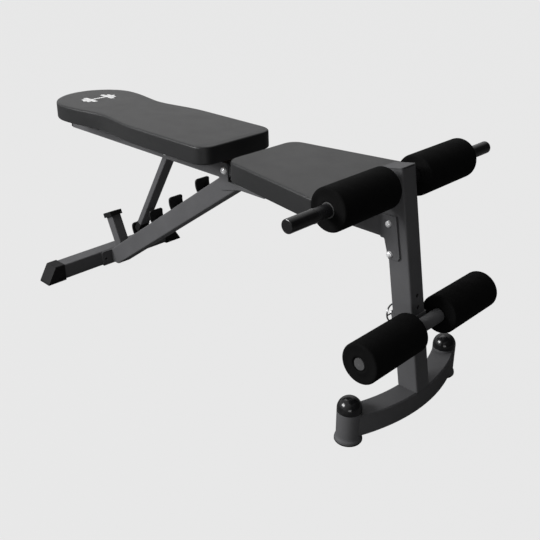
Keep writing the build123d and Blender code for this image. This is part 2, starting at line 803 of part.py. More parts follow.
# ---------------------------------------------------------------- support strut
strut_down = Vector(-cos(radians(strut_angle)), 0, -sin(radians(strut_angle)))
strut_pivot = Vector(strut_pivot_x, 0, strut_pivot_z)
strut_foot = strut_pivot + strut_down * strut_length
strut_across = Vector(sin(radians(strut_angle)), 0, -cos(radians(strut_angle)))
strut_plane = Plane(origin=strut_pivot, x_dir=strut_across, z_dir=strut_down)
strut_half = strut_width / 2
strut_bush_radius = 6.0
foot_cap_length = 22.0


def flat(point):
    """The (x, z) pair of a point in the middle plane."""
    return (point.X, point.Z)


with BuildPart() as strut_tube:
    with BuildSketch(strut_plane):
        add(tube_section(strut_depth, strut_width, strut_wall, 3))
    extrude(amount=strut_length - foot_cap_length)
    # rounded upper end about the pivot
    with BuildSketch(side_plane(0)):
        with Locations((strut_pivot.X, strut_pivot.Z)):
            Circle(strut_depth / 2)
    extrude(amount=strut_half, both=True)
    with BuildSketch(strut_plane.offset(-strut_depth)):
        Rectangle(strut_depth - 2 * strut_wall, strut_width - 2 * strut_wall)
    extrude(amount=strut_length + strut_depth, mode=Mode.SUBTRACT)
    with BuildSketch(side_plane(0)):
        with Locations((strut_pivot.X, strut_pivot.Z)):
            Circle(strut_bush_radius)
    extrude(amount=60, both=True, mode=Mode.SUBTRACT)
save(strut_tube, "strut_tube")

strut_bush = ring_y(
    strut_pivot.X, strut_pivot.Z, -strut_half, strut_half, strut_bush_radius, bolt_radius + running_gap
)
save(strut_bush, "strut_bush")

with BuildPart() as strut_foot_cap:
    with BuildSketch(side_plane(0)):
        with BuildLine():
            half_across = strut_across * (strut_depth / 2)
            near = strut_foot - strut_down * foot_cap_length
            tip = strut_foot + strut_down * (strut_depth / 2)
            Line(flat(near - half_across), flat(strut_foot - half_across))
            ThreePointArc(flat(strut_foot - half_across), flat(tip), flat(strut_foot + half_across))
            Line(flat(strut_foot + half_across), flat(near + half_across))
            Line(flat(near + half_across), flat(near - half_across))
        make_face()
    extrude(amount=strut_half, both=True)
    with BuildSketch(strut_plane.offset(strut_length - foot_cap_length - 18)):
        Rectangle(strut_depth - 2 * strut_wall - 0.6, strut_width - 2 * strut_wall - 0.6)
    extrude(amount=20)
save(strut_foot_cap, "strut_foot_cap")

with BuildPart() as strut_pivot_bolt:
    add(
        turned(
            domed_bolt(bolt_radius, 7.5, 4.5, 2 * channel_half + 8),
            cross_plane(strut_pivot.X, -channel_half, strut_pivot.Z),
        )
    )
save(strut_pivot_bolt, "strut_pivot_bolt")
strut_pivot_nut = hex_nuts([(strut_pivot.X, channel_half, strut_pivot.Z)], 13, bolt_radius, 6.5)
save(strut_pivot_nut, "strut_pivot_nut")

# ---------------------------------------------------------------- seat pad, board, brackets and screws
seat_corner = 34.0
seat_bracket_x = [hinge_x + 165.0, hinge_x + 370.0]
seat_bracket_thickness = 3.5
seat_bracket_reach = 42.0
seat_bracket_drop = 30.0
seat_screw_y = half_tube + 27.0
seat_board_bottom = seat_pad_bottom + 0.4


def seat_outline(inset):
    """The seat pad seen from above: wider towards the rollers."""
    with BuildSketch() as outline:
        with BuildLine():
            FilletPolyline(
                (seat_pad_rear + inset, seat_rear_half - inset),
                (seat_pad_front - inset, seat_front_half - inset),
                (seat_pad_front - inset, inset - seat_front_half),
                (seat_pad_rear + inset, inset - seat_rear_half),
                radius=seat_corner - inset,
                close=True,
            )
        make_face()
    return outline.sketch


with BuildPart() as seat_pad:
    with BuildSketch(Plane.XY.offset(seat_pad_bottom)):
        add(seat_outline(0))
    extrude(amount=seat_pad_top - seat_pad_bottom)
    fillet(seat_pad.faces().sort_by(Axis.Z)[-1].edges(), pad_edge_radius)
    fillet(seat_pad.faces().sort_by(Axis.Z)[0].edges(), pad_edge_radius)
    with BuildSketch(Plane.XY.offset(seat_pad_bottom)):
        add(seat_outline(board_inset))
    extrude(amount=board_thickness + 1.0, mode=Mode.SUBTRACT)
save(seat_pad, "seat_pad")

seat_screw_places = [(x, side * seat_screw_y) for x in seat_bracket_x for side in (1, -1)]
with BuildPart() as seat_board:
    with BuildSketch(Plane.XY.offset(seat_board_bottom)):
        add(seat_outline(board_inset + 0.5))
        with Locations(*seat_screw_places):
            Circle(bolt_radius, mode=Mode.SUBTRACT)
    extrude(amount=board_thickness)
save(seat_board, "seat_board")

bracket_length = 40.0
with BuildPart() as seat_brackets:
    for x in seat_bracket_x:
        for side in (1, -1):
            with BuildSketch(Plane.YZ.offset(x - bracket_length / 2)):
                with BuildLine():
                    inner_y = side * half_tube
                    outer_y = side * (half_tube + seat_bracket_reach)
                    skin_y = side * (half_tube + seat_bracket_thickness)
                    low = seat_board_bottom - seat_bracket_thickness
                    Polyline(
                        (inner_y, seat_board_bottom),
                        (outer_y, seat_board_bottom),
                        (outer_y, low),
                        (skin_y, low),
                        (skin_y, seat_board_bottom - seat_bracket_drop),
                        (inner_y, seat_board_bottom - seat_bracket_drop),
                        close=True,
                    )
                make_face()
            extrude(amount=bracket_length)
    with BuildSketch(Plane.XY.offset(seat_board_bottom - 8)):
        with Locations(*seat_screw_places):
            Circle(bolt_radius)
    extrude(amount=10, mode=Mode.SUBTRACT)
save(seat_brackets, "seat_brackets")

seat_screws = upright_screws(seat_screw_places, seat_board_bottom - seat_bracket_thickness)
save(seat_screws, "seat_screws")

# ---------------------------------------------------------------- roller carriage on the post
collar_bore = (post_depth + 2 * carriage_gap, tube_width + 2 * carriage_gap)
collar_skin = (collar_bore[0] + 2 * carriage_wall, collar_bore[1] + 2 * carriage_wall)
sleeve_half = foam_inner - 1.6
lower_bar_half = foam_outer - 2.0

with BuildPart() as carriage_collar:
    with BuildSketch(carriage_plane.offset(-carriage_half_height)):
        RectangleRounded(*collar_skin, tube_corner + carriage_wall)
        RectangleRounded(*collar_bore, tube_corner + carriage_gap, mode=Mode.SUBTRACT)
    extrude(amount=2 * carriage_half_height)
    with BuildSketch(side_plane(0)):
        with Locations((lower_axis.X, lower_axis.Z)):
            Circle(core_radius)
    extrude(amount=60, both=True, mode=Mode.SUBTRACT)
    with BuildSketch(pull_plane):
        Circle(lock_pin_radius + running_gap)
    extrude(amount=60, mode=Mode.SUBTRACT)
save(carriage_collar, "carriage_collar")

with BuildPart() as carriage_sleeve:
    add(ring_y(lower_axis.X, lower_axis.Z, -sleeve_half, sleeve_half, core_radius, bar_radius))
    with BuildSketch(carriage_plane.offset(-2 * carriage_half_height)):
        Rectangle(*collar_bore)
    extrude(amount=4 * carriage_half_height, mode=Mode.SUBTRACT)
save(carriage_sleeve, "carriage_sleeve")

lower_roller_bar = ring_y(
    lower_axis.X, lower_axis.Z, -lower_bar_half, lower_bar_half, bar_radius, bar_radius - bar_wall
)
save(lower_roller_bar, "lower_roller_bar")

plug_profile = [
    (0, lower_bar_half - 14),
    (bar_radius - bar_wall, lower_bar_half - 14),
    (bar_radius - bar_wall, lower_bar_half),
    (bar_radius - 0.3, lower_bar_half),
    (bar_radius - 0.8, foam_outer - 0.3),
    (0, foam_outer),
]
plug_solid = turned(plug_profile, cross_plane(lower_axis.X, 0, lower_axis.Z))
with BuildPart() as lower_bar_plugs:
    add(plug_solid)
    add(mirror(plug_solid, about=Plane.XZ))
save(lower_bar_plugs, "lower_bar_plugs")

# ---------------------------------------------------------------- lock pin with pull ring
collar_back = collar_skin[0] / 2
housing_length = 11.0
housing_radius = 9.0
housing_bore = 6.5
housing_end_wall = 2.2
flange_radius = 6.2
flange_thickness = 2.0
pin_nose = collar_bore[0] / 2
ring_distance = 42.0
ring_radius = 18.8
ring_wire = 1.8

with BuildPart() as pin_housing:
    with BuildSketch(pull_plane.offset(collar_back)):
        Circle(housing_radius)
    extrude(amount=housing_length)
    fillet(pin_housing.edges().filter_by(GeomType.CIRCLE).sort_by(Axis.X)[0], 1.2)
    with BuildSketch(pull_plane.offset(collar_back)):
        Circle(housing_bore)
    extrude(amount=housing_length - housing_end_wall, mode=Mode.SUBTRACT)
    with BuildSketch(pull_plane.offset(collar_back)):
        Circle(lock_pin_radius + running_gap)
    extrude(amount=housing_length + 5, mode=Mode.SUBTRACT)
save(pin_housing, "pin_housing")

ring_hole = pin_origin - post_forward * ring_distance
with BuildPart() as lock_pin:
    with BuildSketch(pull_plane.offset(pin_nose)):
        Circle(lock_pin_radius)
    extrude(amount=ring_distance + 3 - pin_nose)
    with BuildSketch(pull_plane.offset(collar_back + 0.2)):
        Circle(flange_radius)
    extrude(amount=flange_thickness)
    with BuildSketch(Plane(origin=ring_hole, x_dir=(1, 0, 0), z_dir=(0, 1, 0))):
        Circle(1.6)
    extrude(amount=lock_pin_radius + 5, both=True, mode=Mode.SUBTRACT)
save(lock_pin, "lock_pin")

with BuildPart() as pull_ring:
    ring_plane = pull_plane.offset(ring_distance)
    with BuildSketch(Plane(origin=ring_plane.origin, x_dir=(0, 1, 0), z_dir=post_up)):
        with Locations((ring_radius, 0)):
            Circle(ring_wire)
    revolve(axis=Axis(ring_plane.origin, post_forward))
    with BuildSketch(Plane(origin=ring_plane.origin, x_dir=(1, 0, 0), z_dir=(0, 1, 0))):
        Circle(1.6)
    extrude(amount=ring_radius, both=True)
save(pull_ring, "pull_ring")
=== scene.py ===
"""Looks of the decline sit up bench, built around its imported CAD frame. Metres throughout."""
import json
import math

import bmesh
import bpy
from mathutils import Matrix, Vector


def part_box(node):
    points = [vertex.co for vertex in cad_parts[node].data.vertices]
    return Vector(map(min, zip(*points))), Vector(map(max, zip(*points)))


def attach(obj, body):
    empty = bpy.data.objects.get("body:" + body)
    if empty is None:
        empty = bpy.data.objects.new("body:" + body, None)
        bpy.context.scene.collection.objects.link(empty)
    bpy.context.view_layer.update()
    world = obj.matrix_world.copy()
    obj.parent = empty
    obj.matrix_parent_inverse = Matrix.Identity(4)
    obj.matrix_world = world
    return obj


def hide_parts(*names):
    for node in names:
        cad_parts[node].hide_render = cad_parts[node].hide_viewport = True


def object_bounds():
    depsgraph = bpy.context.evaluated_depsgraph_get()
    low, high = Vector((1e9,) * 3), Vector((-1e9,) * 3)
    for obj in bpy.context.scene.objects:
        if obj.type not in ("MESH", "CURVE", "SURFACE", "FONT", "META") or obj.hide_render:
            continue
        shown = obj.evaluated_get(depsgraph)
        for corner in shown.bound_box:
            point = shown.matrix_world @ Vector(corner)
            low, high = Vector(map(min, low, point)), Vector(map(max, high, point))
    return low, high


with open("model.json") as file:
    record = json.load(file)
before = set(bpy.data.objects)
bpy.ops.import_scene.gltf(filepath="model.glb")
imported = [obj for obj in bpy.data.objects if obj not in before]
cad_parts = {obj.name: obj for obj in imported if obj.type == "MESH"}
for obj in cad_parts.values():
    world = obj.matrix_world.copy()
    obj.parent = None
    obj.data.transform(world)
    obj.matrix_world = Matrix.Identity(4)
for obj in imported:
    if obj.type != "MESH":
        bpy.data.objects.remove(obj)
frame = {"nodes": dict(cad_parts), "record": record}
cad_low, cad_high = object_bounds()
nodes = frame["nodes"]

# ---------------------------------------------------------------- shader helpers


class Shader:
    """A small wrapper that adds nodes to one material and links them."""

    def __init__(self, name):
        self.material = bpy.data.materials.new(name)
        self.material.use_nodes = True
        self.tree = self.material.node_tree
        self.surface = self.tree.nodes["Principled BSDF"]
        self.place = self.add("ShaderNodeTexCoord").outputs["Object"]

    def add(self, kind, **settings):
        node = self.tree.nodes.new(kind)
        for key, value in settings.items():
            setattr(node, key, value)
        return node

    def link(self, source, target):
        self.tree.links.new(source, target)

    def set(self, **values):
        for key, value in values.items():
            self.surface.inputs[key.replace("_", " ")].default_value = value

    def noise(self, scale, detail=4.0, roughness=0.55, vector=None):
        node = self.add("ShaderNodeTexNoise")
        node.inputs["Scale"].default_value = scale
        node.inputs["Detail"].default_value = detail
        node.inputs["Roughness"].default_value = roughness
        self.link(vector or self.place, node.inputs["Vector"])
        return node.outputs["Fac"]

    def voronoi(self, scale, feature="F1", randomness=1.0, vector=None):
        node = self.add("ShaderNodeTexVoronoi", feature=feature)
        node.inputs["Scale"].default_value = scale
        node.inputs["Randomness"].default_value = randomness
        self.link(vector or self.place, node.inputs["Vector"])
        return node.outputs["Distance"]

    def spread(self, value, low, high, to_low=0.0, to_high=1.0):
        node = self.add("ShaderNodeMapRange")
        for key, number in (("From Min", low), ("From Max", high), ("To Min", to_low), ("To Max", to_high)):
            node.inputs[key].default_value = number
        self.link(value, node.inputs["Value"])
        return node.outputs["Result"]

    def math(self, operation, first, second):
        node = self.add("ShaderNodeMath", operation=operation)
        for socket, value in zip(node.inputs, (first, second)):
            if isinstance(value, (int, float)):
                socket.default_value = value
            else:
                self.link(value, socket)
        return node.outputs["Value"]

    def mix(self, factor, first, second):
        node = self.add("ShaderNodeMix", data_type="RGBA")
        if isinstance(factor, (int, float)):
            node.inputs["Factor"].default_value = factor
        else:
            self.link(factor, node.inputs["Factor"])
        for key, value in (("A", first), ("B", second)):
            socket = [entry for entry in node.inputs if entry.name == key and entry.type == "RGBA"][0]
            if isinstance(value, tuple):
                socket.default_value = (*value, 1.0)
            else:
                self.link(value, socket)
        return [entry for entry in node.outputs if entry.type == "RGBA"][0]

    def edge_mask(self, radius, low=0.02, high=0.25):
        """1 along sharp edges, 0 on flat faces."""
        bevel = self.add("ShaderNodeBevel", samples=4)
        bevel.inputs["Radius"].default_value = radius
        normal = self.add("ShaderNodeNewGeometry").outputs["Normal"]
        dot = self.add("ShaderNodeVectorMath", operation="DOT_PRODUCT")
        self.link(bevel.outputs["Normal"], dot.inputs[0])
        self.link(normal, dot.inputs[1])
        bend = self.math("SUBTRACT", 1.0, dot.outputs["Value"])
        return self.spread(bend, low, high)

    def bump(self, height, distance, strength=1.0, rounded=0.0):
        node = self.add("ShaderNodeBump")
        node.inputs["Distance"].default_value = distance
        node.inputs["Strength"].default_value = strength
        self.link(height, node.inputs["Height"])
        if rounded:
            bevel = self.add("ShaderNodeBevel", samples=4)
            bevel.inputs["Radius"].default_value = rounded
            self.link(bevel.outputs["Normal"], node.inputs["Normal"])
        self.link(node.outputs["Normal"], self.surface.inputs["Normal"])

    def colour(self, socket):
        self.link(socket, self.surface.inputs["Base Color"])

    def rough(self, socket):
        self.link(socket, self.surface.inputs["Roughness"])


# ---------------------------------------------------------------- materials


def powder_coat(name, base, worn, rough_low=0.38, rough_high=0.52):
    """Powder coated steel: fine orange peel, faint cloudiness and rubbed edges."""
    s = Shader(name)
    cloud = s.spread(s.noise(9.0), 0.35, 0.65)
    speck = s.spread(s.noise(900.0, 2.0), 0.45, 0.6)
    tone = s.mix(cloud, base, tuple(c * 1.16 for c in base))
    tone = s.mix(s.math("MULTIPLY", speck, 0.18), tone, tuple(c * 1.5 for c in base))
    scuff = s.spread(s.noise(70.0, 6.0, 0.7), 0.5, 0.72)
    edge = s.math("MULTIPLY", s.edge_mask(0.0012), scuff)
    s.colour(s.mix(s.math("MULTIPLY", edge, 0.5), tone, worn))
    s.rough(s.spread(s.noise(28.0, 6.0), 0.3, 0.7, rough_low, rough_high))
    peel = s.math("ADD", s.noise(520.0, 2.0), s.math("MULTIPLY", s.noise(1500.0, 2.0), 0.35))
    s.bump(peel, 0.00012, 0.55, rounded=0.0009)
    s.set(Specular_IOR_Level=0.2)
    return s.material


def bar_paint(name):
    """Smooth black paint on the roller bars, with fine rubbed rings around the bar."""
    s = Shader(name)
    stretch = s.add("ShaderNodeMapping")
    stretch.inputs["Scale"].default_value = (1.0, 60.0, 1.0)
    s.link(s.place, stretch.inputs["Vector"])
    rings = s.spread(s.noise(14.0, 5.0, 0.6, vector=stretch.outputs["Vector"]), 0.52, 0.75)
    s.colour(s.mix(s.math("MULTIPLY", rings, 0.35), (0.013, 0.013, 0.014), (0.06, 0.06, 0.063)))
    s.rough(s.spread(s.noise(40.0), 0.3, 0.7, 0.24, 0.4))
    s.bump(s.noise(600.0, 2.0), 0.00006, 0.5, rounded=0.0006)
    return s.material


def moulded_plastic(name, base, rough_low, rough_high, shine=0.5, grain=1400.0, depth=0.00008):
    """Injection moulded plastic: fine spark grain, paler rubbed edges, slight blotches."""
    s = Shader(name)
    blotch = s.spread(s.noise(22.0), 0.35, 0.7)
    tone = s.mix(blotch, base, tuple(c * 1.35 for c in base))
    rub = s.math("MULTIPLY", s.edge_mask(0.001), s.spread(s.noise(110.0, 5.0), 0.42, 0.7))
    s.colour(s.mix(s.math("MULTIPLY", rub, 0.45), tone, tuple(min(1.0, c * 3.2 + 0.015) for c in base)))
    s.rough(s.spread(s.noise(60.0, 5.0), 0.3, 0.7, rough_low, rough_high))
    s.bump(s.noise(grain, 2.0), depth, 0.6, rounded=0.0008)
    s.set(Specular_IOR_Level=shine)
    return s.material


def gloss_dome(name):
    """Glossy black plastic of the dome caps and grips, with hairline scratches and a trace of dust."""
    s = Shader(name)
    stretch = s.add("ShaderNodeMapping")
    stretch.inputs["Scale"].default_value = (1.0, 9.0, 2.0)
    stretch.inputs["Rotation"].default_value = (0.3, 0.5, 0.8)
    s.link(s.place, stretch.inputs["Vector"])
    scratch = s.spread(s.noise(160.0, 3.0, 0.7, vector=stretch.outputs["Vector"]), 0.62, 0.72)
    dust = s.spread(s.noise(55.0, 6.0, 0.65), 0.5, 0.8)
    s.colour(s.mix(s.math("MULTIPLY", dust, 0.14), (0.006, 0.006, 0.0065), (0.09, 0.09, 0.09)))
    s.rough(s.math("ADD", s.spread(s.noise(30.0), 0.3, 0.7, 0.15, 0.2), s.math("MULTIPLY", scratch, 0.12)))
    s.bump(s.noise(35.0, 2.0), 0.0001, 0.12)
    s.set(Specular_IOR_Level=0.4, Coat_Weight=0.08, Coat_Roughness=0.12)
    return s.material


def soft_rubber(name):
    """Matte black rubber for the foot pads, with a fine grain."""
    s = Shader(name)
    tone = s.mix(s.spread(s.noise(45.0, 6.0), 0.4, 0.7), (0.009, 0.009, 0.009), (0.021, 0.021, 0.021))
    s.colour(tone)
    s.rough(s.spread(s.noise(80.0), 0.3, 0.7, 0.5, 0.68))
    s.bump(s.noise(900.0, 3.0), 0.0001, 0.7)
    return s.material


def roller_foam(name):
    """Closed cell foam: a matte, finely pored skin with faint dents and pale dust; the pores are painted
    darker as shade.
    """
    s = Shader(name)
    pores = s.voronoi(620.0)
    coarse = s.voronoi(210.0)
    # painted shade: the colour is darker in the pits of the pores, where shade falls; the same mask also
    # sets the pits' depth
    pit_depth_and_shade = s.spread(pores, 0.0, 0.45)
    tone = s.mix(pit_depth_and_shade, (0.001, 0.001, 0.001), (0.0036, 0.0036, 0.0037))
    bloom = s.spread(s.noise(24.0, 6.0, 0.6), 0.5, 0.8)
    s.colour(s.mix(s.math("MULTIPLY", bloom, 0.2), tone, (0.009, 0.009, 0.009)))
    s.rough(s.spread(s.noise(50.0), 0.3, 0.7, 0.82, 0.95))
    height = s.math("ADD", pit_depth_and_shade, s.math("MULTIPLY", s.spread(coarse, 0.0, 0.5), 0.6))
    s.bump(height, 0.0002, 0.8)
    s.set(Specular_IOR_Level=0.08)
    return s.material


def upholstery_vinyl(name):
    """Black upholstery vinyl: pebbled leather grain, creases and soft sheen, with painted shade darkening
    the grain's valleys.
    """
    s = Shader(name)
    pebble = s.voronoi(430.0, "SMOOTH_F1")
    vein = s.voronoi(300.0, "DISTANCE_TO_EDGE")
    fine = s.noise(1500.0, 3.0)
    grain = s.math("SUBTRACT", s.spread(vein, 0.0, 0.18), s.math("MULTIPLY", pebble, 0.35))
    cloud = s.spread(s.noise(6.0, 5.0, 0.6), 0.35, 0.7)
    tone = s.mix(cloud, (0.0155, 0.0157, 0.0163), (0.0195, 0.0197, 0.0203))
    # painted shade: the colour darkens in the valleys between the grain's pebbles, where shade falls
    grain_valley_shade = s.spread(vein, 0.0, 0.06, 0.3, 0.0)
    s.colour(s.mix(grain_valley_shade, tone, (0.008, 0.008, 0.0085)))
    s.rough(s.spread(s.noise(16.0, 6.0), 0.3, 0.7, 0.36, 0.42))
    s.bump(s.math("ADD", grain, s.math("MULTIPLY", fine, 0.25)), 0.00016, 0.55)
    s.set(Specular_IOR_Level=0.3, Sheen_Weight=0.02, Sheen_Roughness=0.5)
    return s.material


def bright_zinc(name, base, rough_low, rough_high, metal=1.0):
    """Zinc plated or chromed steel with lathe marks and dull spots."""
    s = Shader(name)
    dull = s.spread(s.noise(190.0, 5.0), 0.45, 0.75)
    s.colour(s.mix(s.math("MULTIPLY", dull, 0.4), base, tuple(c * 0.62 for c in base)))
    s.rough(s.spread(s.noise(260.0, 4.0), 0.3, 0.7, rough_low, rough_high))
    s.bump(s.noise(800.0, 2.0), 0.00005, 0.5, rounded=0.0004)
    s.set(Metallic=metal)
    return s.material


def raw_plywood(name):
    """Plywood: long grain along X with thin ply lines on its edge."""
    s = Shader(name)
    stretch = s.add("ShaderNodeMapping")
    stretch.inputs["Scale"].default_value = (0.6, 14.0, 60.0)
    s.link(s.place, stretch.inputs["Vector"])
    fibre = s.noise(12.0, 6.0, 0.6, vector=stretch.outputs["Vector"])
    s.colour(s.mix(s.spread(fibre, 0.35, 0.65), (0.2, 0.125, 0.065), (0.36, 0.25, 0.14)))
    s.rough(s.spread(fibre, 0.3, 0.7, 0.6, 0.8))
    s.bump(fibre, 0.0002, 0.5)
    return s.material


looks = {
    "frame_paint": powder_coat("charcoal_powder_coat", (0.078, 0.078, 0.0812), (0.2, 0.2, 0.2), 0.5, 0.62),
    "hook_paint": powder_coat("black_powder_coat", (0.012, 0.012, 0.0125), (0.16, 0.16, 0.16)),
    "bar_paint": bar_paint("black_bar_paint"),
    "black_plastic": moulded_plastic("black_moulded_plastic", (0.0065, 0.0065, 0.0068), 0.5, 0.62,
                                     shine=0.18),
    "dome_plastic": gloss_dome("gloss_dome_plastic"),
    "grey_plastic": moulded_plastic("grey_moulded_plastic", (0.06, 0.06, 0.061), 0.45, 0.6, shine=0.3),
    "rubber": soft_rubber("black_rubber"),
    "foam": roller_foam("roller_foam"),
    "vinyl": upholstery_vinyl("black_vinyl"),
    "plywood": raw_plywood("raw_plywood"),
    "zinc": bright_zinc("zinc_plate", (0.96, 0.96, 0.97), 0.24, 0.36, metal=0.4),
    "bronze": bright_zinc("oiled_bronze", (0.5, 0.33, 0.14), 0.3, 0.45),
    "chrome": bright_zinc("chrome_plate", (0.4, 0.4, 0.41), 0.24, 0.36),
}

for entry in frame["record"]["subparts"]:
    node = nodes[entry["node"]]
    node.data.materials.clear()
    node.data.materials.append(looks[entry["material_slot"]])

# ---------------------------------------------------------------- mesh helpers


def new_piece(name, mesh, look, body):
    piece = bpy.data.objects.new(name, mesh)
    bpy.context.scene.collection.objects.link(piece)
    piece.data.materials.clear()
    piece.data.materials.append(looks[look])
    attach(piece, body)
    return piece


def shade_smooth(mesh):
    mesh.polygons.foreach_set("use_smooth", [True] * len(mesh.polygons))


def revolve_about_y(name, profile, centre_x, centre_z, segments=96):
    """A closed surface from (radius, y) points turned about a line along Y."""
    mesh = bpy.data.meshes.new(name)
    shape = bmesh.new()
    loops = []
    for radius, y in profile:
        ring = []
        for step in range(segments):
            angle = 2 * math.pi * step / segments
            place = (centre_x + radius * math.cos(angle), y, centre_z + radius * math.sin(angle))
            ring.append(shape.verts.new(place))
        loops.append(ring)
    for first, second in zip(loops, loops[1:] + loops[:1]):
        for step in range(segments):
            after = (step + 1) % segments
            shape.faces.new((first[step], first[after], second[after], second[step]))
    bmesh.ops.recalc_face_normals(shape, faces=shape.faces)
    shape.to_mesh(mesh)
    shape.free()
    shade_smooth(mesh)
    return mesh


# ---------------------------------------------------------------- foam rollers
foam_wall_round = 0.0045
bore_round = 0.0012
end_sink = 0.0012


def foam_roller(side_name, body):
    """One foam roller: rounded shoulders, a shallow dish at each end and a fine uneven skin."""
    node = "foam_roller_" + side_name
    low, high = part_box(node)
    core_low, core_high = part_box("roller_core_" + side_name)
    centre_x, centre_z = (low.x + high.x) / 2, (low.z + high.z) / 2
    radius, bore = (high.x - low.x) / 2, (core_high.x - core_low.x) / 2
    y0, y1 = low.y, high.y
    profile = []
    for end, inward in ((y1, -1.0), (y0, 1.0)):
        corner = []
        for step in range(7):
            turn = math.radians(15 * step)
            corner.append((radius - foam_wall_round * (1 - math.sin(turn)),
                           end + inward * foam_wall_round * (1 - math.cos(turn))))
        dish = []
        steps = 6
        for step in range(steps + 1):
            share = step / steps
            here = bore + bore_round + (radius - foam_wall_round - bore - bore_round) * share
            sink = end_sink * math.sin(math.pi * share) ** 2
            dish.append((here, end + inward * sink))
        lip = [(bore, end + inward * bore_round)]
        run = lip + dish + corner[1:]
        profile.append(run if inward < 0 else run[::-1])
    outer_first, outer_last = profile[0][-1][1], profile[1][0][1]
    length_steps = 40
    wall = [(radius, outer_first + (outer_last - outer_first) * step / length_steps)
            for step in range(1, length_steps)]
    inside = [(bore, profile[1][-1][1] + (profile[0][0][1] - profile[1][-1][1]) * step / 6)
              for step in range(1, 6)]
    mesh = revolve_about_y(node + "_skin", profile[0] + wall + profile[1] + inside, centre_x, centre_z)
    piece = new_piece(node + "_skin", mesh, "foam", body)
    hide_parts(node)
    return piece


for side_name in ("upper_left", "upper_right", "lower_left", "lower_right"):
    foam_roller(side_name, "roller_" + side_name)

# ---------------------------------------------------------------- padded upholstery
spacing = 0.0045
cloth_frames = 20
fairing_rounds = 12
edge = 0.0045         # radius of the rolled top edge
slack = 0.0008        # how far inside the CAD pad the vinyl starts
swell_cap = 0.0011    # the most that the vinyl may swell
pleat_depth = 0.0009  # depth of the gathers where the cover turns a corner underneath


def pad_outline(node):
    """The pad's side wall seen from above, evenly stepped and lightly faired."""
    low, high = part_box(node)
    level = [v.co.z for v in nodes[node].data.vertices if high.z - 0.008 < v.co.z < high.z - 0.002]
    wall_top = min(level)
    centre = Vector(((low.x + high.x) / 2, 0.0))
    corners = {}
    for v in nodes[node].data.vertices:
        if abs(v.co.z - wall_top) < 0.0003:
            flat = Vector((v.co.x, v.co.y))
            angle = round(math.atan2(flat.y - centre.y, flat.x - centre.x), 4)
            if angle not in corners or (flat - centre).length > (corners[angle] - centre).length:
                corners[angle] = flat
    loop = [corners[angle] for angle in sorted(corners)]
    lengths = [(loop[(i + 1) % len(loop)] - loop[i]).length for i in range(len(loop))]
    count = 4 * round(sum(lengths) / spacing / 4)
    step = sum(lengths) / count
    points, at, travelled = [], 0, 0.0
    for index in range(count):
        goal = index * step
        while travelled + lengths[at] < goal:
            travelled += lengths[at]
            at += 1
        share = (goal - travelled) / lengths[at]
        points.append(loop[at].lerp(loop[(at + 1) % len(loop)], share))
    for _ in range(3):
        points = [points[i] * 0.5 + (points[i - 1] + points[(i + 1) % count]) * 0.25 for i in range(count)]
    return points


def outward_normals(points):
    count = len(points)
    normals = []
    for i in range(count):
        along = points[(i + 1) % count] - points[i - 1]
        normals.append(Vector((along.y, -along.x)).normalized())
    return normals


def swell(piece, cap, pinned):
    """Blow the vinyl out with a cloth simulation. The stiff foam stops it sinking in and evens it out."""
    count = len(piece.data.vertices)
    before = [v.co.copy() for v in piece.data.vertices]
    group = piece.vertex_groups.new(name="held")
    for index in range(count):
        if pinned[index] > 0:
            group.add([index], pinned[index], "REPLACE")
    cloth = piece.modifiers.new("swell", "CLOTH")
    settings = cloth.settings
    settings.quality = 5
    settings.mass = 0.3
    settings.tension_stiffness = 18
    settings.compression_stiffness = 18
    settings.shear_stiffness = 8
    settings.bending_stiffness = 1.5
    settings.use_pressure = True
    settings.uniform_pressure_force = 4
    settings.effector_weights.gravity = 0
    settings.vertex_group_mass = "held"
    cloth.collision_settings.use_collision = False
    cloth.point_cache.frame_start = 1
    cloth.point_cache.frame_end = cloth_frames
    for number in range(1, cloth_frames + 1):
        bpy.context.scene.frame_set(number)
    swollen = piece.evaluated_get(bpy.context.evaluated_depsgraph_get())
    after = [v.co.copy() for v in swollen.data.vertices]
    piece.modifiers.remove(cloth)
    piece.vertex_groups.remove(group)
    bpy.context.scene.frame_set(1)
    normals = [v.normal.copy() for v in piece.data.vertices]
    moves = [max(0.0, (end - start).dot(normal)) for start, end, normal in zip(before, after, normals)]
    beside = [[] for _ in range(count)]
    for edge in piece.data.edges:
        first, second = edge.vertices
        beside[first].append(second)
        beside[second].append(first)
    for _ in range(fairing_rounds):
        moves = [0.5 * move + 0.5 * sum(moves[i] for i in around) / len(around)
                 for move, around in zip(moves, beside)]
    for vertex, start, normal, move in zip(piece.data.vertices, before, normals, moves):
        vertex.co = start + normal * cap * math.tanh(move / cap)
    piece.data.update()


